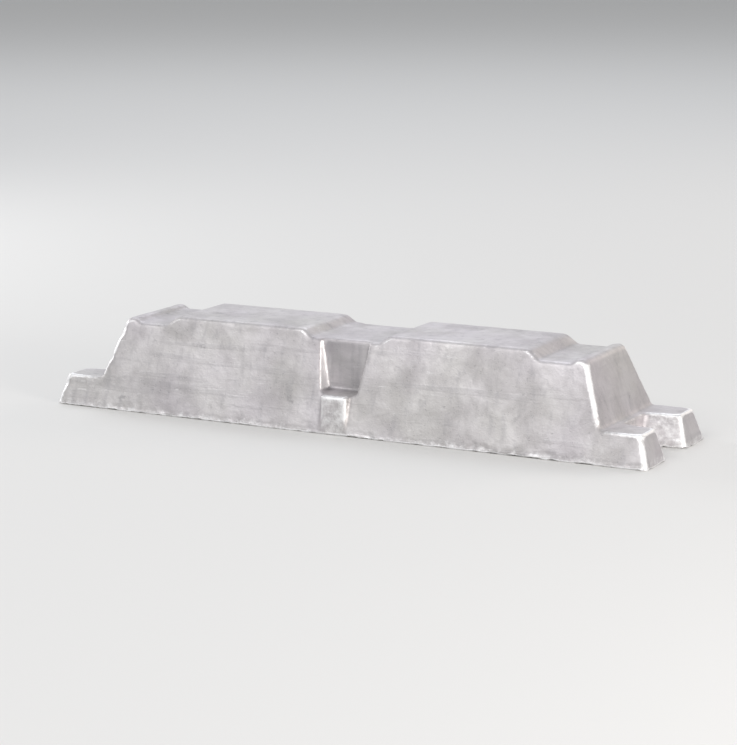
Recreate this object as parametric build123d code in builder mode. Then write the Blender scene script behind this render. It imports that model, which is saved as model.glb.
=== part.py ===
from build123d import *
import os

# Aluminium ingot cast in an open mould, lying with its wide cast face down.
# X runs along the ingot, Y across it and Z up; the origin is the middle of the wide face.

# body
length = 760.0
base_width = 175.0
top_width = 105.0
height = 113.0

# ears: the low ledges at the two ends, and the lean of the body's end faces above them
ear_reach = 58.0
ear_height = 36.0
ear_draft = 10.0
end_lean = 28.0

# notch through the middle of each ear, wider at its mouth and its top so that the mould lets go
notch_depth = 50.0
notch_base_width = 56.0
notch_top_width = 76.0
notch_mouth_flare = 8.0

# end channels across the narrow face, each behind a low post at the end of the body
post_length = 12.0
post_drop = 6.0
post_side_run = 6.0
channel_drop = 11.0
channel_floor = 38.0
channel_inner_run = 13.0

# shallower and wider channel across the middle of the narrow face
middle_drop = 9.0
middle_floor = 88.0
middle_run = 11.0

# key at mid-length of each long side: a recess above a ledge, and a rib below it
ledge_height = 45.0
recess_top_width = 66.0
recess_ledge_width = 45.0
recess_bite = 3.0
recess_draft = 2.5
rib_width = 33.0
rib_draft = 1.5

# rounded edges; the foot, post, ramp and middle outer radii stay larger than the side radius that crosses them
side_radius = 6.0
foot_radius = 12.0
post_outer_radius = 10.0
post_inner_radius = 7.0
ramp_radius = 12.0
floor_outer_radius = 5.0
floor_inner_radius = 6.0
middle_outer_radius = 9.0
middle_floor_radius = 5.0
ear_corner_radius = 6.0
ear_top_radius = 2.5

# how far a cutting shape runs past the metal, and how closely a position is matched
overrun = 5.0
match = 0.01

ear_inner_x = length / 2 - ear_reach
ear_root_x = ear_inner_x - foot_radius
post_height = height - post_drop
post_x = ear_inner_x - end_lean * (post_height - ear_height) / (height - ear_height)
channel_height = height - channel_drop
channel_outer_x = post_x - post_length - post_side_run
channel_inner_x = channel_outer_x - channel_floor
notch_back_x = length / 2 - notch_depth
recess_back_y = top_width / 2 - recess_bite


def half_width(z):
    """Half the width of the sloping long sides at height z."""
    return base_width / 2 - (base_width - top_width) / 2 * z / height


# body, up to the foot of its leaning end faces
with BuildPart() as body:
    with BuildSketch(Plane.YZ):
        with BuildLine():
            Polyline(
                (-half_width(0), 0),
                (half_width(0), 0),
                (half_width(height), height),
                (-half_width(height), height),
                close=True,
            )
        make_face()
    extrude(amount=length / 2, both=True)

    # side view: leaning ends, posts, end channels and the middle channel
    with BuildSketch(Plane.XZ):
        with BuildLine():
            Line((0, 0), (ear_inner_x, 0))
            FilletPolyline(
                (ear_inner_x, 0),
                (ear_inner_x, ear_height),
                (post_x, post_height),
                (post_x - post_length, post_height),
                (channel_outer_x, channel_height),
                (channel_inner_x, channel_height),
                (channel_inner_x - channel_inner_run, height),
                (middle_floor / 2 + middle_run, height),
                (middle_floor / 2, height - middle_drop),
                (0, height - middle_drop),
                radius=[
                    foot_radius,
                    post_outer_radius,
                    post_inner_radius,
                    floor_outer_radius,
                    floor_inner_radius,
                    ramp_radius,
                    middle_outer_radius,
                    middle_floor_radius,
                ],
            )
            mirror(about=Plane.YZ)
        make_face()
    extrude(amount=base_width, both=True, mode=Mode.INTERSECT)

    # one rounded edge on each side runs up the end, over the post, through the channel and along the top
    side_edges = body.edges().filter_by(lambda edge: abs(edge.center().Y) > top_width / 4)
    fillet(side_edges.filter_by(lambda edge: edge.bounding_box().max.Z > match), side_radius)

# ear at the +X end, rooted in the body
with BuildPart() as ear:
    with BuildSketch(Plane.YZ.offset(ear_root_x)):
        with BuildLine():
            Polyline(
                (-half_width(0), 0),
                (half_width(0), 0),
                (half_width(ear_height), ear_height),
                (-half_width(ear_height), ear_height),
                close=True,
            )
        make_face()
    extrude(amount=length / 2 - ear_root_x)
    with BuildSketch(Plane.XZ):
        with BuildLine():
            Polyline(
                (ear_root_x, 0),
                (length / 2, 0),
                (length / 2 - ear_draft, ear_height),
                (ear_root_x, ear_height),
                close=True,
            )
        make_face()
    extrude(amount=base_width, both=True, mode=Mode.INTERSECT)

    # notch, lofted from below the wide face to above the ear's top
    mouth_x = length / 2 + overrun
    mouth_slope = notch_mouth_flare / notch_depth
    rise_slope = (notch_top_width - notch_base_width) / 2 / ear_height
    for level in (-overrun, ear_height + overrun):
        mouth_half = notch_base_width / 2 + rise_slope * level + mouth_slope * overrun
        back_half = mouth_half - mouth_slope * (mouth_x - notch_back_x)
        with BuildSketch(Plane.XY.offset(level)):
            with BuildLine():
                Polyline(
                    (notch_back_x, -back_half),
                    (mouth_x, -mouth_half),
                    (mouth_x, mouth_half),
                    (notch_back_x, back_half),
                    close=True,
                )
            make_face()
    loft(mode=Mode.SUBTRACT)

    # upright edges: outer corners, mouth and back of the notch; then the edges of the two lugs' tops
    free_edges = ear.edges().filter_by(lambda edge: edge.bounding_box().max.X > ear_root_x + match)
    upright_edges = free_edges.filter_by(lambda edge: edge.bounding_box().size.Z > ear_height - match)
    fillet(upright_edges, ear_corner_radius)
    free_edges = ear.edges().filter_by(lambda edge: edge.bounding_box().max.X > ear_root_x + match)
    fillet(free_edges.filter_by(lambda edge: edge.bounding_box().min.Z > ear_height - match), ear_top_radius)

# cutting shape of the recess on the +Y side: its outline seen from the side, then its depth seen along X
with BuildPart() as recess:
    with BuildSketch(Plane.XZ):
        with BuildLine():
            wall_slope = (recess_top_width - recess_ledge_width) / 2 / (height - ledge_height)
            top_half = recess_top_width / 2 + wall_slope * overrun
            Polyline(
                (-recess_ledge_width / 2, ledge_height),
                (recess_ledge_width / 2, ledge_height),
                (top_half, height + overrun),
                (-top_half, height + overrun),
                close=True,
            )
        make_face()
    extrude(amount=base_width, both=True)
    with BuildSketch(Plane.YZ):
        with BuildLine():
            Polyline(
                (recess_back_y + recess_draft, ledge_height),
                (base_width, ledge_height),
                (base_width, height + overrun),
                (recess_back_y, height + overrun),
                (recess_back_y, height),
                close=True,
            )
        make_face()
    extrude(amount=recess_top_width, both=True, mode=Mode.INTERSECT)

# rib on the +Y side, standing out most at the ledge and dying out at the wide face
with BuildPart() as rib:
    with BuildSketch(Plane.YZ):
        with BuildLine():
            Polyline(
                (recess_back_y, 0),
                (half_width(0), 0),
                (half_width(0) - rib_draft, ledge_height),
                (recess_back_y, ledge_height),
                close=True,
            )
        make_face()
    extrude(amount=rib_width / 2, both=True)

# one casting
with BuildPart() as ingot:
    add(body.part)
    add(ear.part)
    mirror(ear.part, about=Plane.YZ)
    add(recess.part, mode=Mode.SUBTRACT)
    mirror(recess.part, about=Plane.XZ, mode=Mode.SUBTRACT)
    add(rib.part)
    mirror(rib.part, about=Plane.XZ)

os.makedirs("parts", exist_ok=True)
ingot.part.label = "ingot"
export_step(ingot.part, "parts/ingot.step")
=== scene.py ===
import math
import bpy
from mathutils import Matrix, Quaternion, Vector


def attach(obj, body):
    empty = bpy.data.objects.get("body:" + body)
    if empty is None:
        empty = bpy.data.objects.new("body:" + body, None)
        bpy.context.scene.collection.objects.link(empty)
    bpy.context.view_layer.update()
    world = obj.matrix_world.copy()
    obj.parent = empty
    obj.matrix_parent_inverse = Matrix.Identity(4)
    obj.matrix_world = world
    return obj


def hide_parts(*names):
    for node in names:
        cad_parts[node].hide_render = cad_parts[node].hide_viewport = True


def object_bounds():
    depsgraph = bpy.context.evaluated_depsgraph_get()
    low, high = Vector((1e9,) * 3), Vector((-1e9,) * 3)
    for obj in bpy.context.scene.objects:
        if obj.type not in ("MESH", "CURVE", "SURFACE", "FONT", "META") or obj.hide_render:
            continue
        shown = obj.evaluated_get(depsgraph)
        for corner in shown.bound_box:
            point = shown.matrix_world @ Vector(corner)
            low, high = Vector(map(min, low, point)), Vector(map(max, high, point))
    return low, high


# Looks of a cast aluminium ingot that lies with its wide, open-poured face down.
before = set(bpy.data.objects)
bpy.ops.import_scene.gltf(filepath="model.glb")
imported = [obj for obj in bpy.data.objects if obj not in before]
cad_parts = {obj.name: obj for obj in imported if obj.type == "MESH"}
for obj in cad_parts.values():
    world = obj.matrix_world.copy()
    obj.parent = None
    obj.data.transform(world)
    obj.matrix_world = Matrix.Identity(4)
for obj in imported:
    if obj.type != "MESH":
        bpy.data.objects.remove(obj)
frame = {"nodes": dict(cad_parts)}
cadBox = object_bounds()
middle = (cadBox[0] + cadBox[1]) / 2
print("frame loaded:", ", ".join(frame["nodes"]))


def linear(hexColour):
    # sRGB hex to the linear colour that the nodes work in
    parts = [int(hexColour[i:i + 2], 16) / 255 for i in (1, 3, 5)]
    return tuple(p / 12.92 if p <= 0.04045 else ((p + 0.055) / 1.055) ** 2.4 for p in parts) + (1.0,)


def addNode(tree, kind, inputs=None, **settings):
    # one node with its settings; each input is given a value, or the socket that feeds it
    node = tree.nodes.new(kind)
    for name, value in settings.items():
        setattr(node, name, value)
    for key, value in (inputs or {}).items():
        if isinstance(value, bpy.types.NodeSocket):
            tree.links.new(value, node.inputs[key])
        else:
            node.inputs[key].default_value = value
    return node


def between(limits):
    # the two inputs that say where a share starts and where it is full
    start, full = limits
    return {"From Min": start, "From Max": full}


def direction(turn, rise):
    # from the ingot outwards: degrees from the front towards the right end, and above the floor
    turn, rise = math.radians(turn), math.radians(rise)
    return Vector((math.sin(turn) * math.cos(rise), -math.cos(turn) * math.cos(rise), math.sin(rise)))


# camera, at the photograph's angle
view = {
    "azimuth": 28.5,
    "elevation": 11.5,
    "roll": -0.4,
    "distance": 2.75,
    "lens": 115.0,
}
outward = direction(view["azimuth"], view["elevation"])
roll = Quaternion((0, 0, 1), math.radians(view["roll"]))
camera = bpy.data.objects.new("camera", bpy.data.cameras.new("camera"))
camera.data.lens = view["lens"]
camera.location = middle + outward * view["distance"]
camera.rotation_mode = "QUATERNION"
camera.rotation_quaternion = (-outward).to_track_quat("-Z", "Y") @ roll
bpy.context.scene.collection.objects.link(camera)
bpy.context.scene.camera = camera
bpy.context.scene.view_settings.view_transform = "Standard"
print("camera set")

# light: a pale surround, broad panels high in front and behind, low ones at each side that the rounded edges
# and the steep faces of the key give back as bright strips, and a soft one that lifts the right end wall
lighting = {
    "surround": "#DFE1E4",
    "surroundStrength": 0.66,
    "panels": [
        # name, azimuth, elevation, distance, size, power, colour; all are aimed at the ingot
        ("panelFront", -13, 38, 5.5, (4.0, 2.4), 112.0, "#FFFFFF"),
        ("panelRight", 69, 9, 2.4, (0.9, 0.6), 31.0, "#FFFAF5"),
        ("panelEnd", 150, 27, 3.4, (1.4, 0.9), 12.0, "#FFF3E7"),
        ("panelLeft", -98, 16, 2.6, (0.9, 0.6), 14.0, "#FFFFFF"),
        ("panelBack", 208, 52, 6.5, (5.0, 3.0), 120.0, "#F6F9FF"),
    ],
}
world = bpy.data.worlds.new("surround")
world.use_nodes = True
world.node_tree.nodes["Background"].inputs["Color"].default_value = linear(lighting["surround"])
world.node_tree.nodes["Background"].inputs["Strength"].default_value = lighting["surroundStrength"]
bpy.context.scene.world = world
for name, turn, rise, distance, spread, power, colour in lighting["panels"]:
    panel = bpy.data.lights.new(name, "AREA")
    panel.shape = "RECTANGLE"
    panel.size, panel.size_y = spread
    panel.energy = power
    panel.color = linear(colour)[:3]
    holder = bpy.data.objects.new(name, panel)
    toPanel = direction(turn, rise)
    holder.location = middle + toPanel * distance
    holder.rotation_mode = "QUATERNION"
    holder.rotation_quaternion = (-toPanel).to_track_quat("-Z", "Y")
    holder.visible_camera = False
    bpy.context.scene.collection.objects.link(holder)
print("lights set:", len(lighting["panels"]))

# floor, plain and pale
floorSheet = {
    "halfWidth": 12.0,
    "colour": "#DDDCDA",
    "roughness": 0.85,
}
half = floorSheet["halfWidth"]
floorCorners = [(-half, -half, 0), (half, -half, 0), (half, half, 0), (-half, half, 0)]
floorMesh = bpy.data.meshes.new("floor")
floorMesh.from_pydata(floorCorners, [], [(0, 1, 2, 3)])
floor = bpy.data.objects.new("floor", floorMesh)
bpy.context.scene.collection.objects.link(floor)
paint = bpy.data.materials.new("palePaint")
paint.use_nodes = True
paintShader = paint.node_tree.nodes["Principled BSDF"]
paintShader.inputs["Base Color"].default_value = linear(floorSheet["colour"])
paintShader.inputs["Roughness"].default_value = floorSheet["roughness"]
floorMesh.materials.append(paint)
print("floor laid")

# aluminium that set against an iron mould: a dull grey oxide skin, clouded, with upright runs left by the
# mould wash, and bright bare metal wherever an edge has rubbed; that bright colour is also painted as
# highlight, and the grime colour as shade
mouldSkin = {
    "pale": "#D7D3D4",
    "dull": "#BAB6B7",
    "cloudSize": 0.05,
    "cool": "#C7C2C6",
    "green": "#C5C4BE",
    "tintSize": 0.08,
    "tintShare": 0.35,
    "run": "#98969A",
    "runWidth": 0.009,
    "runLength": 0.09,
    "runShare": 0.3,
    "smudge": "#7B797C",
    "smudgeSize": 0.024,
    "smudgeShare": 0.45,
    "speck": "#858388",
    "speckSize": 0.0017,
    "speckShare": 0.4,
    "speckDepth": 0.00012,
    "scratch": "#EFEEEE",
    "chipSize": 0.006,
    "wearAndSheenSize": 0.045,
    # the bare-metal colour, also painted as highlight
    "rubbedAndSheen": "#F4F3F3",
    # the grime colour, also painted as shade in the key's recess
    "grimeAndShade": "#77757A",
    "roughness": (0.5, 0.68),
    "rubbedRoughness": 0.52,
    "grainSize": 0.0024,  # the real skin is finer, but would not show in the render
    "grainDepth": 0.00016,
    "peelSize": 0.0085,
    "peelDepth": 0.0004,
    "lapSpacing": 0.011,
    "lapLength": 0.16,
    "lapShare": 0.15,
    "lapDepth": 0.00012,
}
# aluminium that set in air: thick wrinkled oxide, duller and rougher, with grey dross in patches
openSkin = {
    "pale": "#CBC9C6",
    "dull": "#96948F",
    "cloudSize": 0.03,
    "cool": "#B9B7BA",
    "green": "#B0B0A6",
    "tintSize": 0.06,
    "tintShare": 0.4,
    "run": "#85837D",
    "runWidth": 0.012,
    "runLength": 0.012,
    "runShare": 0.4,
    "smudge": "#625F5A",
    "smudgeSize": 0.03,
    "smudgeShare": 0.7,
    "speck": "#6B6964",
    "speckSize": 0.0024,
    "speckShare": 0.5,
    "speckDepth": 0.0004,
    "scratch": "#E6E5E2",
    "chipSize": 0.007,
    "wearAndSheenSize": 0.04,
    "rubbedAndSheen": "#F2F1EF",
    "grimeAndShade": "#6A6862",
    "roughness": (0.5, 0.72),
    "rubbedRoughness": 0.34,
    "grainSize": 0.0034,
    "grainDepth": 0.0004,
    "peelSize": 0.012,
    "peelDepth": 0.0012,
    "lapSpacing": 0.02,
    "lapLength": 0.05,
    "lapShare": 0.2,
    "lapDepth": 0.0004,
}
# alike in both skins: where in its noise each mark starts and where it is full, and how the marks lie
marks = {
    "cloud": (0.33, 0.67),
    "tint": (0.35, 0.65),
    "run": (0.5, 0.78),
    "lap": (0.52, 0.7),
    "smudge": (0.62, 0.74),
    "smudgeSeed": 3.7,
    "speck": (0.82, 0.94),
    "speckGather": 0.35,
    "scratchSlant": (0.25, 0.5, 0.15),
    "scratchScale": (5.0, 150.0, 320.0),
    "scratchLine": (0.0, 0.02),
    "scratchPlace": (0.37, 0.42),
    "scratchShare": 0.45,
    "wearAndSheenCloud": (0.35, 0.6),
    "leastWearAndSheen": 0.72,
    "wearAndSheen": (0.8, 1.35),
    "wearAndSheenShare": 0.95,
    "grimeAndShadeShare": 0.45,
    "rough": (0.3, 0.7),
}


def castAluminium(name, skin):
    material = bpy.data.materials.new(name)
    material.use_nodes = True
    tree = material.node_tree
    shader = tree.nodes["Principled BSDF"]
    shader.inputs["Metallic"].default_value = 1.0
    place = addNode(tree, "ShaderNodeTexCoord").outputs["Object"]

    # oxide clouds, with a faint lilac or green cast that changes more slowly
    cloud = addNode(
        tree, "ShaderNodeTexNoise",
        {
            "Vector": place, "Scale": 1 / skin["cloudSize"], "Detail": 6.0, "Roughness": 0.6,
            "Distortion": 0.35,
        },
    ).outputs["Fac"]
    cloudShare = addNode(
        tree, "ShaderNodeMapRange", {"Value": cloud, **between(marks["cloud"])},
        interpolation_type="SMOOTHSTEP",
    ).outputs["Result"]
    tint = addNode(
        tree, "ShaderNodeTexNoise", {"Vector": place, "Scale": 1 / skin["tintSize"], "Detail": 2.0},
    ).outputs["Fac"]
    tintShare = addNode(
        tree, "ShaderNodeMapRange", {"Value": tint, **between(marks["tint"])},
    ).outputs["Result"]
    colour = addNode(
        tree, "ShaderNodeMix", {"Factor": cloudShare, "A": linear(skin["pale"]), "B": linear(skin["dull"])},
        data_type="RGBA",
    ).outputs["Result"]
    tintColour = addNode(
        tree, "ShaderNodeMix", {"Factor": tintShare, "A": linear(skin["cool"]), "B": linear(skin["green"])},
        data_type="RGBA",
    ).outputs["Result"]
    colour = addNode(
        tree, "ShaderNodeMix", {"Factor": skin["tintShare"], "A": colour, "B": tintColour}, data_type="RGBA",
    ).outputs["Result"]

    # upright runs of mould wash
    runPlace = addNode(
        tree, "ShaderNodeMapping",
        {"Vector": place, "Scale": (1 / skin["runWidth"], 1 / skin["runWidth"], 1 / skin["runLength"])},
    ).outputs["Vector"]
    run = addNode(
        tree, "ShaderNodeTexNoise", {"Vector": runPlace, "Scale": 1.0, "Detail": 3.0, "Distortion": 0.2},
    ).outputs["Fac"]
    runShare = addNode(
        tree, "ShaderNodeMapRange", {"Value": run, "To Max": skin["runShare"], **between(marks["run"])},
        interpolation_type="SMOOTHSTEP",
    ).outputs["Result"]
    colour = addNode(
        tree, "ShaderNodeMix", {"Factor": runShare, "A": colour, "B": linear(skin["run"])}, data_type="RGBA",
    ).outputs["Result"]

    # lap lines, level with the wide face, faint and broken
    lapPlace = addNode(
        tree, "ShaderNodeMapping",
        {"Vector": place, "Scale": (1 / skin["lapLength"], 1 / skin["lapLength"], 1 / skin["lapSpacing"])},
    ).outputs["Vector"]
    lapNoise = addNode(
        tree, "ShaderNodeTexNoise", {"Vector": lapPlace, "Scale": 1.0, "Detail": 3.0, "Roughness": 0.55},
    ).outputs["Fac"]
    lap = addNode(
        tree, "ShaderNodeMapRange", {"Value": lapNoise, **between(marks["lap"])},
        interpolation_type="SMOOTHSTEP",
    ).outputs["Result"]
    lapShare = addNode(
        tree, "ShaderNodeMath", {0: lap, 1: skin["lapShare"]}, operation="MULTIPLY",
    ).outputs["Value"]
    colour = addNode(
        tree, "ShaderNodeMix", {"Factor": lapShare, "A": colour, "B": linear(skin["run"])}, data_type="RGBA",
    ).outputs["Result"]

    # smudges from handling, few and small
    smudge = addNode(
        tree, "ShaderNodeTexNoise",
        {
            "Vector": place, "W": marks["smudgeSeed"], "Scale": 1 / skin["smudgeSize"],
            "Detail": 4.0, "Roughness": 0.65,
        },
        noise_dimensions="4D",
    ).outputs["Fac"]
    smudgeShare = addNode(
        tree, "ShaderNodeMapRange",
        {"Value": smudge, "To Max": skin["smudgeShare"], **between(marks["smudge"])},
        interpolation_type="SMOOTHSTEP",
    ).outputs["Result"]
    colour = addNode(
        tree, "ShaderNodeMix", {"Factor": smudgeShare, "A": colour, "B": linear(skin["smudge"])},
        data_type="RGBA",
    ).outputs["Result"]

    # specks of mould wash and pinholes, gathered where the clouds are dull
    speck = addNode(
        tree, "ShaderNodeTexNoise",
        {"Vector": place, "Scale": 1 / skin["speckSize"], "Detail": 2.0, "Roughness": 0.5},
    ).outputs["Fac"]
    speck = addNode(
        tree, "ShaderNodeMath", {0: cloud, 1: marks["speckGather"], 2: speck}, operation="MULTIPLY_ADD",
    ).outputs["Value"]
    speck = addNode(
        tree, "ShaderNodeMapRange", {"Value": speck, **between(marks["speck"])},
        interpolation_type="SMOOTHSTEP",
    ).outputs["Result"]
    speckShare = addNode(
        tree, "ShaderNodeMath", {0: speck, 1: skin["speckShare"]}, operation="MULTIPLY",
    ).outputs["Value"]
    colour = addNode(
        tree, "ShaderNodeMix", {"Factor": speckShare, "A": colour, "B": linear(skin["speck"])},
        data_type="RGBA",
    ).outputs["Result"]

    # thin scratches: the narrow middle band of a noise drawn out along one slant
    slant = addNode(
        tree, "ShaderNodeMapping",
        {"Vector": place, "Rotation": marks["scratchSlant"], "Scale": marks["scratchScale"]},
    ).outputs["Vector"]
    scratchNoise = addNode(
        tree, "ShaderNodeTexNoise", {"Vector": slant, "Scale": 1.0, "Detail": 1.0},
    ).outputs["Fac"]
    offMiddle = addNode(
        tree, "ShaderNodeMath", {0: scratchNoise, 1: 0.5}, operation="SUBTRACT",
    ).outputs["Value"]
    offMiddle = addNode(tree, "ShaderNodeMath", {0: offMiddle}, operation="ABSOLUTE").outputs["Value"]
    scratchLine = addNode(
        tree, "ShaderNodeMapRange",
        {"Value": offMiddle, "To Min": 1.0, "To Max": 0.0, **between(marks["scratchLine"])},
    ).outputs["Result"]
    scratchPlace = addNode(
        tree, "ShaderNodeMapRange",
        {"Value": smudge, "To Min": marks["scratchShare"], "To Max": 0.0, **between(marks["scratchPlace"])},
    ).outputs["Result"]
    scratch = addNode(
        tree, "ShaderNodeMath", {0: scratchLine, 1: scratchPlace}, operation="MULTIPLY",
    ).outputs["Value"]
    colour = addNode(
        tree, "ShaderNodeMix", {"Factor": scratch, "A": colour, "B": linear(skin["scratch"])},
        data_type="RGBA",
    ).outputs["Result"]

    # bare metal on the edges, broken up by the clouds, and grime in the corners; the bare-metal colour also
    # stands as painted highlight, and the grime colour as painted shade in the key's recess
    wearAndSheen = addNode(tree, "ShaderNodeAttribute", attribute_name="wearAndSheen").outputs["Fac"]
    hollowGrimeAndShade = addNode(tree, "ShaderNodeAttribute", attribute_name="hollowGrimeAndShade").outputs["Fac"]
    wearAndSheenCloud = addNode(
        tree, "ShaderNodeTexNoise", {"Vector": place, "Scale": 1 / skin["wearAndSheenSize"], "Detail": 2.0},
    ).outputs["Fac"]
    wearAndSheenCloud = addNode(
        tree, "ShaderNodeMapRange",
        {"Value": wearAndSheenCloud, "To Min": marks["leastWearAndSheen"], "To Max": 1.0, **between(marks["wearAndSheenCloud"])},
    ).outputs["Result"]
    wearAndSheen = addNode(tree, "ShaderNodeMath", {0: wearAndSheen, 1: wearAndSheenCloud}, operation="MULTIPLY").outputs["Value"]
    chip = addNode(
        tree, "ShaderNodeTexNoise",
        {"Vector": place, "Scale": 1 / skin["chipSize"], "Detail": 4.0, "Roughness": 0.7},
    ).outputs["Fac"]
    ragged = addNode(tree, "ShaderNodeMath", {0: wearAndSheen, 1: chip}, operation="ADD").outputs["Value"]
    wearAndSheenShare = addNode(
        tree, "ShaderNodeMapRange",
        {"Value": ragged, "To Max": marks["wearAndSheenShare"], **between(marks["wearAndSheen"])},
        interpolation_type="SMOOTHSTEP",
    ).outputs["Result"]
    grimeAndShadeShare = addNode(
        tree, "ShaderNodeMath", {0: hollowGrimeAndShade, 1: marks["grimeAndShadeShare"]}, operation="MULTIPLY",
    ).outputs["Value"]
    colour = addNode(
        tree, "ShaderNodeMix", {"Factor": grimeAndShadeShare, "A": colour, "B": linear(skin["grimeAndShade"])},
        data_type="RGBA",
    ).outputs["Result"]
    colour = addNode(
        tree, "ShaderNodeMix", {"Factor": wearAndSheenShare, "A": colour, "B": linear(skin["rubbedAndSheen"])},
        data_type="RGBA",
    ).outputs["Result"]
    tree.links.new(colour, shader.inputs["Base Color"])

    # the duller the cloud, the rougher the oxide; rubbed metal has a roughness of its own
    smoothest, roughest = skin["roughness"]
    rough = addNode(
        tree, "ShaderNodeMapRange",
        {"Value": cloud, "To Min": smoothest, "To Max": roughest, **between(marks["rough"])},
    ).outputs["Result"]
    rough = addNode(
        tree, "ShaderNodeMix", {"Factor": wearAndSheenShare, "A": rough, "B": skin["rubbedRoughness"]},
        data_type="FLOAT",
    ).outputs["Result"]
    tree.links.new(rough, shader.inputs["Roughness"])

    # fine grain of the skin, a coarser peel, lap lines where the metal rose by stages, and sunken specks
    grain = addNode(
        tree, "ShaderNodeTexNoise",
        {"Vector": place, "Scale": 1 / skin["grainSize"], "Detail": 2.0, "Roughness": 0.6},
    ).outputs["Fac"]
    bump = addNode(
        tree, "ShaderNodeBump", {"Strength": 1.0, "Distance": skin["grainDepth"], "Height": grain},
    ).outputs["Normal"]
    peel = addNode(
        tree, "ShaderNodeTexNoise",
        {"Vector": place, "Scale": 1 / skin["peelSize"], "Detail": 3.0, "Roughness": 0.6, "Distortion": 0.5},
    ).outputs["Fac"]
    for height, depth, sunken in (
        (peel, skin["peelDepth"], False), (lap, skin["lapDepth"], False), (speck, skin["speckDepth"], True),
    ):
        bump = addNode(
            tree, "ShaderNodeBump", {"Strength": 1.0, "Distance": depth, "Height": height, "Normal": bump},
            invert=sunken,
        ).outputs["Normal"]
    tree.links.new(bump, shader.inputs["Normal"])
    print("material", name)
    return material


mouldCastAluminium = castAluminium("mouldCastAluminium", mouldSkin)
openCastAluminium = castAluminium("openCastAluminium", openSkin)

# the ingot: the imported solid's surface in even cells, its sharp edges softened as a casting's are
casting = {
    "cell": 0.00217,
    "weld": 0.00001,
    "soften": 0.5,
    "softenTurns": 3,
    "footTurns": 5,
    "keyTurns": 3,
    "aroundTurns": 9,
    # inputs of the skin: depths, sizes and places in metres, with rubs, grime, painted highlights and
    # painted shade as shares
    "inputs": {
        "seed": 11.0,
        "foot x": 0.322,
        "foot z": 0.036,
        "foot reach": 0.006,
        "foot shade": 0.4,
        "key half length": 0.035,
        "key fade": 0.039,
        "ledge height": 0.045,
        "recess back y": 0.0535,
        "recess edge sheen": 0.25,
        "recess sheen": 1.0,
        "recess shade": 0.6,
        "least recess shade": 0.05,
        "rib side sheen": 0.45,
        "rib front sheen": 0.6,
        "top shade": 0.65,
        "rim lightening": 0.5,
        "rim lightening height": 0.014,
        "rim lightening full": 0.005,
        "notch half width": 0.028,
        "notch back x": 0.330,
        "notch reach": 0.05,
        "notch sheen": 0.62,
        "ear sheen": 0.2,
        "ear sheen from": 0.3,
        "ear sheen to": 0.375,
        "wave level": 0.6,
        "wave gain": 2.0,
        "swell depth": 0.0004,
        "swell size": 0.062,
        "dimple depth": 0.00022,
        "dimple size": 0.014,
        "run depth": 0.00010,
        "run size": 0.008,
        "run length": 0.07,
        "nick depth": 0.0019,
        "nick size": 0.019,
        "nick seed": 5.3,
        "rim height": 0.007,
        "rim lift": 0.0014,
        "rim wander": 0.0009,
        "rim wave": 0.014,
        "rim in seed": 1.7,
        "rim up seed": 8.2,
        "lip height": 0.0030,
        "lip depth": 0.0008,
        "sink depth": 0.0027,
        "sink edge": 0.002,
        "sink margin": 0.055,
        "wrinkle depth": 0.0010,
        "wrinkle size": 0.021,
        "wrinkle stretch": 3.2,
        "wrinkle swell": 1.6,
        "crease width": 0.10,
        "fold scale": 16.0,
        "fold seed": 9.6,
        "pipe depth": 0.0042,
        "pipe half width": 0.022,
        "pipe half length": 0.29,
        "pipe run out": 0.12,
        "pipe wander": 0.048,
        "pipe scale": 14.0,
        "pipe seed": 4.1,
        "open below": -0.55,
    },
    # where each share starts and where it is full: places in metres, facings as one part of the normal
    "bands": {
        "off the rim": (0.004, 0.012),
        "standing edge": (0.00022, 0.00085),
        "deep corner": (-0.0003, -0.0014),
        "high up": (0.06, 0.09),
        "facing up": (0.42, 0.62),
        "foot shade": (0.004, 0.04),
        "not underneath": (-0.6, -0.3),
        "above ledge": (-0.002, 0.005),
        "facing along": (0.55, 0.9),
        "facing across": (0.965, 0.99),
        "recess shade along": (-0.015, 0.028),
        "past notch back": (0.0, 0.008),
        "notch wall": (0.6, 0.85),
        "nick": (0.57, 0.72),
        "rim in": (0.35, 0.7),
        "rim up": (0.42, 0.68),
        "lip": (-0.0006, 0.0012),
        "facing down": (-0.35, -0.85),
        "fold": (0.35, 0.6),
    },
}
cadIngot = frame["nodes"]["ingot"]
ingot = bpy.data.objects.new("castIngot", cadIngot.data.copy())
ingot.data.materials.clear()
bpy.context.scene.collection.objects.link(ingot)
weld = ingot.modifiers.new("mergeCorners", "WELD")
weld.merge_threshold = casting["weld"]
cells = ingot.modifiers.new("evenCells", "REMESH")
cells.mode = "VOXEL"
cells.voxel_size = casting["cell"]
settle = ingot.modifiers.new("backOnSurface", "SHRINKWRAP")
settle.target = cadIngot
settle.wrap_method = "NEAREST_SURFACEPOINT"
soften = ingot.modifiers.new("softenEdges", "SMOOTH")
soften.factor = casting["soften"]
soften.iterations = casting["softenTurns"]

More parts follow.
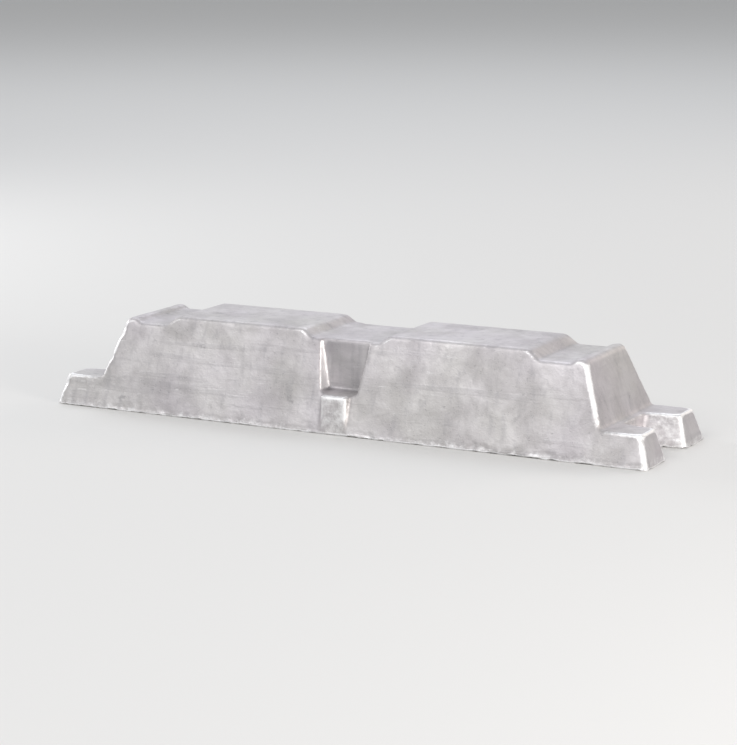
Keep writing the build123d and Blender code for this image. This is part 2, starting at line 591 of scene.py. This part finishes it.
# the skin, a node tree: what the mould, the air and handling do to that surface, and where painted
# highlights and painted shade go on it
bands = casting["bands"]
skinTree = bpy.data.node_groups.new("castSkin", "GeometryNodeTree")
skinTree.interface.new_socket("Geometry", in_out="INPUT", socket_type="NodeSocketGeometry")
skinSockets = {
    name: skinTree.interface.new_socket(name, in_out="INPUT", socket_type="NodeSocketFloat")
    for name in casting["inputs"]
}
skinFinishes = {"mould face": mouldCastAluminium, "open face": openCastAluminium}
for name in skinFinishes:
    skinSockets[name] = skinTree.interface.new_socket(name, in_out="INPUT", socket_type="NodeSocketMaterial")
skinTree.interface.new_socket("Geometry", in_out="OUTPUT", socket_type="NodeSocketGeometry")
size = addNode(skinTree, "NodeGroupInput").outputs
shape = size["Geometry"]
place = addNode(skinTree, "GeometryNodeInputPosition").outputs["Position"]
normal = addNode(skinTree, "GeometryNodeInputNormal").outputs["Normal"]
point = addNode(skinTree, "ShaderNodeSeparateXYZ", {"Vector": place}).outputs
facing = addNode(skinTree, "ShaderNodeSeparateXYZ", {"Vector": normal}).outputs
farPlace = addNode(skinTree, "ShaderNodeVectorMath", {0: place}, operation="ABSOLUTE").outputs["Vector"]
far = addNode(skinTree, "ShaderNodeSeparateXYZ", {"Vector": farPlace}).outputs

# soft fillet where the leaning end walls rise from the ears
awayX = addNode(
    skinTree, "ShaderNodeMath", {0: far["X"], 1: size["foot x"]}, operation="SUBTRACT",
).outputs["Value"]
awayZ = addNode(
    skinTree, "ShaderNodeMath", {0: point["Z"], 1: size["foot z"]}, operation="SUBTRACT",
).outputs["Value"]
away = addNode(skinTree, "ShaderNodeCombineXYZ", {"X": awayX, "Y": awayZ}).outputs["Vector"]
away = addNode(skinTree, "ShaderNodeVectorMath", {0: away}, operation="LENGTH").outputs["Value"]
nearFoot = addNode(
    skinTree, "ShaderNodeMapRange",
    {"Value": away, "To Min": 1.0, "To Max": 0.0, **between((0.0, size["foot reach"]))},
    interpolation_type="SMOOTHSTEP",
).outputs["Result"]

# and a little more softness on the slanting edges of the key, well above the rim
inKey = addNode(
    skinTree, "ShaderNodeMapRange",
    {"Value": far["X"], **between((size["key fade"], size["key half length"]))},
).outputs["Result"]
offRim = addNode(
    skinTree, "ShaderNodeMapRange", {"Value": point["Z"], **between(bands["off the rim"])},
).outputs["Result"]
inKeyOffRim = addNode(
    skinTree, "ShaderNodeMath", {0: inKey, 1: offRim}, operation="MULTIPLY",
).outputs["Value"]
for where, turnsThere in ((nearFoot, casting["footTurns"]), (inKeyOffRim, casting["keyTurns"])):
    eased = addNode(
        skinTree, "GeometryNodeBlurAttribute", {"Value": place, "Iterations": turnsThere, "Weight": where},
        data_type="FLOAT_VECTOR",
    ).outputs["Value"]
    shape = addNode(
        skinTree, "GeometryNodeSetPosition", {"Geometry": shape, "Position": eased},
    ).outputs["Geometry"]

# how far each point stands out from, or lies below, the surface around it: worn edges, which also stand as
# painted highlights, and grimy corners
around = addNode(
    skinTree, "GeometryNodeBlurAttribute", {"Value": place, "Iterations": casting["aroundTurns"]},
    data_type="FLOAT_VECTOR",
).outputs["Value"]
stand = addNode(
    skinTree, "ShaderNodeVectorMath", {0: place, 1: around}, operation="SUBTRACT",
).outputs["Vector"]
stand = addNode(
    skinTree, "ShaderNodeVectorMath", {0: stand, 1: normal}, operation="DOT_PRODUCT",
).outputs["Value"]
wearAndSheen, hollowGrimeAndShade = (
    addNode(
        skinTree, "ShaderNodeMapRange", {"Value": stand, **between(bands[name])},
        interpolation_type="SMOOTHSTEP",
    ).outputs["Result"]
    for name in ("standing edge", "deep corner")
)

# painted shade: the long edges at the top get less of the bright edge colour than the upright ones, and
# every edge less towards the foot
highUp = addNode(
    skinTree, "ShaderNodeMapRange", {"Value": point["Z"], **between(bands["high up"])},
).outputs["Result"]
facingUp = addNode(
    skinTree, "ShaderNodeMapRange", {"Value": facing["Z"], **between(bands["facing up"])},
).outputs["Result"]
topShade = addNode(
    skinTree, "ShaderNodeMath", {0: highUp, 1: facingUp}, operation="MULTIPLY",
).outputs["Value"]
topShade = addNode(
    skinTree, "ShaderNodeMath", {0: topShade, 1: size["top shade"]}, operation="MULTIPLY",
).outputs["Value"]
footShade = addNode(
    skinTree, "ShaderNodeMapRange",
    {"Value": away, "To Min": size["foot shade"], "To Max": 0.0, **between(bands["foot shade"])},
    interpolation_type="SMOOTHSTEP",
).outputs["Result"]
for paintedShade in (topShade, footShade):
    unshaded = addNode(
        skinTree, "ShaderNodeMath", {0: 1.0, 1: paintedShade}, operation="SUBTRACT",
    ).outputs["Value"]
    wearAndSheen = addNode(skinTree, "ShaderNodeMath", {0: wearAndSheen, 1: unshaded}, operation="MULTIPLY").outputs["Value"]

# painted light: a paler band just above the rim, against the shade where the ingot meets the floor
rimBand = addNode(
    skinTree, "ShaderNodeMapRange",
    {
        "Value": point["Z"], "To Max": size["rim lightening"],
        **between((size["rim lightening height"], size["rim lightening full"])),
    },
).outputs["Result"]
notUnderneath = addNode(
    skinTree, "ShaderNodeMapRange", {"Value": facing["Z"], **between(bands["not underneath"])},
).outputs["Result"]
rimBand = addNode(
    skinTree, "ShaderNodeMath", {0: rimBand, 1: notUnderneath}, operation="MULTIPLY",
).outputs["Value"]
wearAndSheen = addNode(skinTree, "ShaderNodeMath", {0: wearAndSheen, 1: rimBand}, operation="MAXIMUM").outputs["Value"]

# painted highlights on the key: the recess's side walls and the rib get the bright edge colour, the recess's
# other edges less of it
aboveLedge = addNode(
    skinTree, "ShaderNodeMath", {0: point["Z"], 1: size["ledge height"]}, operation="SUBTRACT",
).outputs["Value"]
inRecess = addNode(
    skinTree, "ShaderNodeMapRange", {"Value": aboveLedge, **between(bands["above ledge"])},
).outputs["Result"]
inRecess = addNode(
    skinTree, "ShaderNodeMath", {0: inRecess, 1: inKey}, operation="MULTIPLY",
).outputs["Value"]
onRib = addNode(skinTree, "ShaderNodeMath", {0: inKey, 1: inRecess}, operation="SUBTRACT").outputs["Value"]
edgesLeft = addNode(
    skinTree, "ShaderNodeMapRange", {"Value": inRecess, "To Min": 1.0, "To Max": size["recess edge sheen"]},
).outputs["Result"]
wearAndSheen = addNode(skinTree, "ShaderNodeMath", {0: wearAndSheen, 1: edgesLeft}, operation="MULTIPLY").outputs["Value"]
turnedAlong, turnedAcross = (
    addNode(skinTree, "ShaderNodeMath", {0: facing[axis]}, operation="ABSOLUTE").outputs["Value"]
    for axis in ("X", "Y")
)
facingAlong = addNode(
    skinTree, "ShaderNodeMapRange", {"Value": turnedAlong, **between(bands["facing along"])},
    interpolation_type="SMOOTHSTEP",
).outputs["Result"]
facingAcross = addNode(
    skinTree, "ShaderNodeMapRange", {"Value": turnedAcross, **between(bands["facing across"])},
).outputs["Result"]
for where, face, sheenInput in (
    (inRecess, facingAlong, "recess sheen"), (onRib, facingAlong, "rib side sheen"),
    (onRib, facingAcross, "rib front sheen"),
):
    rubbedAndSheen = addNode(skinTree, "ShaderNodeMath", {0: where, 1: face}, operation="MULTIPLY").outputs["Value"]
    rubbedAndSheen = addNode(
        skinTree, "ShaderNodeMath", {0: rubbedAndSheen, 1: size[sheenInput]}, operation="MULTIPLY",
    ).outputs["Value"]
    wearAndSheen = addNode(skinTree, "ShaderNodeMath", {0: wearAndSheen, 1: rubbedAndSheen}, operation="MAXIMUM").outputs["Value"]

# painted shade: the recess's back is darkened with the grime colour, more at the left
recessShade = addNode(
    skinTree, "ShaderNodeMath", {0: far["Y"], 1: size["recess back y"]}, operation="LESS_THAN",
).outputs["Value"]
recessShadeAlong = addNode(
    skinTree, "ShaderNodeMapRange",
    {
        "Value": point["X"], "To Min": size["recess shade"], "To Max": size["least recess shade"],
        **between(bands["recess shade along"]),
    },
).outputs["Result"]
for share in (facingAcross, inRecess, recessShadeAlong):
    recessShade = addNode(
        skinTree, "ShaderNodeMath", {0: recessShade, 1: share}, operation="MULTIPLY",
    ).outputs["Value"]
hollowGrimeAndShade = addNode(
    skinTree, "ShaderNodeMath", {0: hollowGrimeAndShade, 1: recessShade}, operation="MAXIMUM",
).outputs["Value"]

# painted highlight: the side walls of the notches get the bright edge colour
notchSheen = addNode(
    skinTree, "ShaderNodeMath", {0: far["Y"], 1: size["notch reach"]}, operation="LESS_THAN",
).outputs["Value"]
pastBack = addNode(
    skinTree, "ShaderNodeMath", {0: far["X"], 1: size["notch back x"]}, operation="SUBTRACT",
).outputs["Value"]
pastBack = addNode(
    skinTree, "ShaderNodeMapRange", {"Value": pastBack, **between(bands["past notch back"])},
).outputs["Result"]
wallFacing = addNode(
    skinTree, "ShaderNodeMapRange",
    {"Value": turnedAcross, "To Max": size["notch sheen"], **between(bands["notch wall"])},
).outputs["Result"]
for share in (pastBack, wallFacing):
    notchSheen = addNode(
        skinTree, "ShaderNodeMath", {0: notchSheen, 1: share}, operation="MULTIPLY",
    ).outputs["Value"]

# and painted light: the ears are a little paler towards their ends
earSheen = addNode(
    skinTree, "ShaderNodeMapRange",
    {"Value": far["X"], "To Max": size["ear sheen"], **between((size["ear sheen from"], size["ear sheen to"]))},
    interpolation_type="SMOOTHSTEP",
).outputs["Result"]
for rubbedAndSheen in (notchSheen, earSheen):
    wearAndSheen = addNode(skinTree, "ShaderNodeMath", {0: wearAndSheen, 1: rubbedAndSheen}, operation="MAXIMUM").outputs["Value"]
for name, value in (("wearAndSheen", wearAndSheen), ("hollowGrimeAndShade", hollowGrimeAndShade)):
    shape = addNode(
        skinTree, "GeometryNodeStoreNamedAttribute", {"Geometry": shape, "Name": name, "Value": value},
        data_type="FLOAT", domain="POINT",
    ).outputs["Geometry"]
wearAndSheen = addNode(
    skinTree, "GeometryNodeInputNamedAttribute", {"Name": "wearAndSheen"}, data_type="FLOAT",
).outputs["Attribute"]

# broad swell, dimples and upright runs of the mould faces, along the surface's own normal
level = 0.0
for name in ("swell", "dimple", "run"):
    tallSize = size["run length"] if name == "run" else size[name + " size"]
    fine, tall = (
        addNode(skinTree, "ShaderNodeMath", {0: 1.0, 1: cell}, operation="DIVIDE").outputs["Value"]
        for cell in (size[name + " size"], tallSize)
    )
    scale = addNode(skinTree, "ShaderNodeCombineXYZ", {"X": fine, "Y": fine, "Z": tall}).outputs["Vector"]
    spot = addNode(
        skinTree, "ShaderNodeVectorMath", {0: place, 1: scale}, operation="MULTIPLY",
    ).outputs["Vector"]
    wave = addNode(
        skinTree, "ShaderNodeTexNoise", {"Vector": spot, "W": size["seed"], "Scale": 1.0, "Detail": 2.0},
        noise_dimensions="4D",
    ).outputs["Fac"]
    # mostly hollows, so that the skin stays inside the solid
    wave = addNode(
        skinTree, "ShaderNodeMath", {0: wave, 1: size["wave level"]}, operation="SUBTRACT",
    ).outputs["Value"]
    wave = addNode(
        skinTree, "ShaderNodeMath", {0: wave, 1: size["wave gain"]}, operation="MULTIPLY",
    ).outputs["Value"]
    level = addNode(
        skinTree, "ShaderNodeMath", {0: wave, 1: size[name + " depth"], 2: level}, operation="MULTIPLY_ADD",
    ).outputs["Value"]

# nicks knocked into the edges
fine = addNode(
    skinTree, "ShaderNodeMath", {0: 1.0, 1: size["nick size"]}, operation="DIVIDE",
).outputs["Value"]
nick = addNode(
    skinTree, "ShaderNodeTexNoise", {"Vector": place, "W": size["nick seed"], "Scale": fine, "Detail": 1.0},
    noise_dimensions="4D",
).outputs["Fac"]
nick = addNode(
    skinTree, "ShaderNodeMapRange", {"Value": nick, **between(bands["nick"])},
    interpolation_type="SMOOTHSTEP",
).outputs["Result"]
for share in (wearAndSheen, size["nick depth"]):
    nick = addNode(skinTree, "ShaderNodeMath", {0: nick, 1: share}, operation="MULTIPLY").outputs["Value"]
level = addNode(skinTree, "ShaderNodeMath", {0: level, 1: nick}, operation="SUBTRACT").outputs["Value"]

# the rim, where the metal met both the mould and the air, wanders in and out and up and down
lowDown = addNode(
    skinTree, "ShaderNodeMapRange",
    {"Value": point["Z"], "To Min": 1.0, "To Max": 0.0, **between((0.0, size["rim height"]))},
    interpolation_type="SMOOTHSTEP",
).outputs["Result"]
flatPlace = addNode(
    skinTree, "ShaderNodeVectorMath", {0: place, 1: (1.0, 1.0, 0.0)}, operation="MULTIPLY",
).outputs["Vector"]
fine = addNode(
    skinTree, "ShaderNodeMath", {0: 1.0, 1: size["rim wave"]}, operation="DIVIDE",
).outputs["Value"]
rimIn, rimUp = (
    addNode(
        skinTree, "ShaderNodeTexNoise",
        {"Vector": flatPlace, "W": size[seed], "Scale": fine, "Detail": 3.0, "Roughness": 0.6},
        noise_dimensions="4D",
    ).outputs["Fac"]
    for seed in ("rim in seed", "rim up seed")
)
rimIn = addNode(
    skinTree, "ShaderNodeMapRange",
    {"Value": rimIn, "To Max": size["rim wander"], **between(bands["rim in"])},
).outputs["Result"]
rimUp = addNode(
    skinTree, "ShaderNodeMapRange",
    {"Value": rimUp, "To Max": size["rim lift"], **between(bands["rim up"])},
    interpolation_type="SMOOTHSTEP",
).outputs["Result"]
aboveLip = addNode(
    skinTree, "ShaderNodeMath", {0: point["Z"], 1: size["lip height"]}, operation="SUBTRACT",
).outputs["Value"]
groove = addNode(
    skinTree, "ShaderNodeMapRange",
    {"Value": aboveLip, "To Max": size["lip depth"], **between(bands["lip"])},
    interpolation_type="SMOOTHSTEP",
).outputs["Result"]
for cut in (rimIn, groove):
    cut = addNode(skinTree, "ShaderNodeMath", {0: cut, 1: lowDown}, operation="MULTIPLY").outputs["Value"]
    level = addNode(skinTree, "ShaderNodeMath", {0: level, 1: cut}, operation="SUBTRACT").outputs["Value"]

# the open face sank as it set, but stays level with the rim near its edge and round the notches
under = addNode(
    skinTree, "ShaderNodeMapRange", {"Value": facing["Z"], **between(bands["facing down"])},
    interpolation_type="SMOOTHSTEP",
).outputs["Result"]
above = addNode(skinTree, "ShaderNodeMath", {0: 1.0, 1: under}, operation="SUBTRACT").outputs["Value"]
level = addNode(skinTree, "ShaderNodeMath", {0: level, 1: above}, operation="MULTIPLY").outputs["Value"]
fromEdges = addNode(
    skinTree, "ShaderNodeVectorMath", {0: tuple(cadBox[1]), 1: farPlace}, operation="SUBTRACT",
).outputs["Vector"]
fromEdges = addNode(skinTree, "ShaderNodeSeparateXYZ", {"Vector": fromEdges}).outputs
inward = addNode(
    skinTree, "ShaderNodeMath", {0: fromEdges["X"], 1: fromEdges["Y"]}, operation="MINIMUM",
).outputs["Value"]
besideNotch = addNode(
    skinTree, "ShaderNodeMath", {0: far["Y"], 1: size["notch half width"]}, operation="SUBTRACT",
).outputs["Value"]
behindNotch = addNode(
    skinTree, "ShaderNodeMath", {0: size["notch back x"], 1: far["X"]}, operation="SUBTRACT",
).outputs["Value"]
fromNotch = addNode(
    skinTree, "ShaderNodeMath", {0: besideNotch, 1: behindNotch}, operation="MAXIMUM",
).outputs["Value"]
inward = addNode(
    skinTree, "ShaderNodeMath", {0: inward, 1: fromNotch}, operation="MINIMUM",
).outputs["Value"]
sunk = addNode(
    skinTree, "ShaderNodeMapRange", {"Value": inward, **between((size["sink edge"], size["sink margin"]))},
    interpolation_type="SMOOTHSTEP",
).outputs["Result"]
sunk = addNode(skinTree, "ShaderNodeMath", {0: sunk, 1: under}, operation="MULTIPLY").outputs["Value"]

# its skin wrinkled along the ingot, with sharp creases where it folded
fine = addNode(
    skinTree, "ShaderNodeMath", {0: 1.0, 1: size["wrinkle size"]}, operation="DIVIDE",
).outputs["Value"]
wide = addNode(
    skinTree, "ShaderNodeMath", {0: fine, 1: size["wrinkle stretch"]}, operation="DIVIDE",
).outputs["Value"]
scale = addNode(skinTree, "ShaderNodeCombineXYZ", {"X": fine, "Y": wide}).outputs["Vector"]
spot = addNode(
    skinTree, "ShaderNodeVectorMath", {0: place, 1: scale}, operation="MULTIPLY",
).outputs["Vector"]
wrinkle = addNode(
    skinTree, "ShaderNodeTexNoise",
    {"Vector": spot, "W": size["seed"], "Scale": 1.0, "Detail": 1.5, "Distortion": 0.35},
    noise_dimensions="4D",
).outputs["Fac"]
crease = addNode(skinTree, "ShaderNodeMath", {0: wrinkle, 1: 0.5}, operation="SUBTRACT").outputs["Value"]
crease = addNode(skinTree, "ShaderNodeMath", {0: crease}, operation="ABSOLUTE").outputs["Value"]
crease = addNode(
    skinTree, "ShaderNodeMapRange",
    {"Value": crease, "To Min": 1.0, "To Max": 0.0, **between((0.0, size["crease width"]))},
    interpolation_type="SMOOTHSTEP",
).outputs["Result"]
folded = addNode(
    skinTree, "ShaderNodeTexNoise",
    {"Vector": flatPlace, "W": size["fold seed"], "Scale": size["fold scale"], "Detail": 1.0},
    noise_dimensions="4D",
).outputs["Fac"]
folded = addNode(
    skinTree, "ShaderNodeMapRange", {"Value": folded, **between(bands["fold"])},
    interpolation_type="SMOOTHSTEP",
).outputs["Result"]
crease = addNode(skinTree, "ShaderNodeMath", {0: crease, 1: folded}, operation="MULTIPLY").outputs["Value"]
wrinkle = addNode(
    skinTree, "ShaderNodeMath", {0: wrinkle, 1: size["wrinkle swell"], 2: crease}, operation="MULTIPLY_ADD",
).outputs["Value"]
sink = addNode(
    skinTree, "ShaderNodeMath", {0: wrinkle, 1: size["wrinkle depth"], 2: size["sink depth"]},
    operation="MULTIPLY_ADD",
).outputs["Value"]

# a shrinkage groove wanders along its middle
pipeWander = addNode(
    skinTree, "ShaderNodeTexNoise",
    {"Vector": flatPlace, "W": size["pipe seed"], "Scale": size["pipe scale"], "Detail": 2.0},
    noise_dimensions="4D",
).outputs["Fac"]
pipeWander = addNode(
    skinTree, "ShaderNodeMath", {0: pipeWander, 1: 0.5}, operation="SUBTRACT",
).outputs["Value"]
pipeWander = addNode(
    skinTree, "ShaderNodeMath", {0: pipeWander, 1: size["pipe wander"]}, operation="MULTIPLY",
).outputs["Value"]
fromPipe = addNode(
    skinTree, "ShaderNodeMath", {0: point["Y"], 1: pipeWander}, operation="SUBTRACT",
).outputs["Value"]
fromPipe = addNode(skinTree, "ShaderNodeMath", {0: fromPipe}, operation="ABSOLUTE").outputs["Value"]
pipe = addNode(
    skinTree, "ShaderNodeMapRange",
    {"Value": fromPipe, "To Min": 1.0, "To Max": 0.0, **between((0.0, size["pipe half width"]))},
    interpolation_type="SMOOTHSTEP",
).outputs["Result"]
pipeEnd = addNode(
    skinTree, "ShaderNodeMath", {0: size["pipe half length"], 1: far["X"]}, operation="SUBTRACT",
).outputs["Value"]
pipeEnd = addNode(
    skinTree, "ShaderNodeMapRange", {"Value": pipeEnd, **between((0.0, size["pipe run out"]))},
    interpolation_type="SMOOTHSTEP",
).outputs["Result"]
pipe = addNode(skinTree, "ShaderNodeMath", {0: pipe, 1: pipeEnd}, operation="MULTIPLY").outputs["Value"]
sink = addNode(
    skinTree, "ShaderNodeMath", {0: pipe, 1: size["pipe depth"], 2: sink}, operation="MULTIPLY_ADD",
).outputs["Value"]
lift = addNode(
    skinTree, "ShaderNodeMix", {"Factor": sunk, "A": rimUp, "B": sink}, data_type="FLOAT",
).outputs["Result"]
lift = addNode(skinTree, "ShaderNodeMath", {0: lift, 1: lowDown}, operation="MULTIPLY").outputs["Value"]

# move the surface, and give the open face a finish of its own
along = addNode(
    skinTree, "ShaderNodeVectorMath", {0: normal, "Scale": level}, operation="SCALE",
).outputs["Vector"]
lifted = addNode(skinTree, "ShaderNodeCombineXYZ", {"Z": lift}).outputs["Vector"]
offset = addNode(skinTree, "ShaderNodeVectorMath", {0: along, 1: lifted}, operation="ADD").outputs["Vector"]
shape = addNode(
    skinTree, "GeometryNodeSetPosition", {"Geometry": shape, "Offset": offset},
).outputs["Geometry"]
shape = addNode(skinTree, "GeometryNodeSetShadeSmooth", {"Geometry": shape}).outputs["Geometry"]
shape = addNode(skinTree, "GeometryNodeRealizeInstances", {"Geometry": shape}).outputs["Geometry"]
shape = addNode(
    skinTree, "GeometryNodeSetMaterial", {"Geometry": shape, "Material": size["mould face"]},
).outputs["Geometry"]
openFace = addNode(
    skinTree, "FunctionNodeCompare", {"A": facing["Z"], "B": size["open below"]},
    data_type="FLOAT", operation="LESS_THAN",
).outputs["Result"]
shape = addNode(
    skinTree, "GeometryNodeSetMaterial",
    {"Geometry": shape, "Selection": openFace, "Material": size["open face"]},
).outputs["Geometry"]
addNode(skinTree, "NodeGroupOutput", {"Geometry": shape})

skin = ingot.modifiers.new("castSkin", "NODES")
skin.node_group = skinTree
for name, value in {**casting["inputs"], **skinFinishes}.items():
    skin[skinSockets[name].identifier] = value

graph = bpy.context.evaluated_depsgraph_get()
blankMesh = ingot.data
ingot.data = bpy.data.meshes.new_from_object(ingot.evaluated_get(graph), depsgraph=graph)
ingot.modifiers.clear()
bpy.data.meshes.remove(blankMesh)
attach(ingot, "root")
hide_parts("ingot")
print("ingot made:", len(ingot.data.polygons), "faces,", len(ingot.data.materials), "materials")
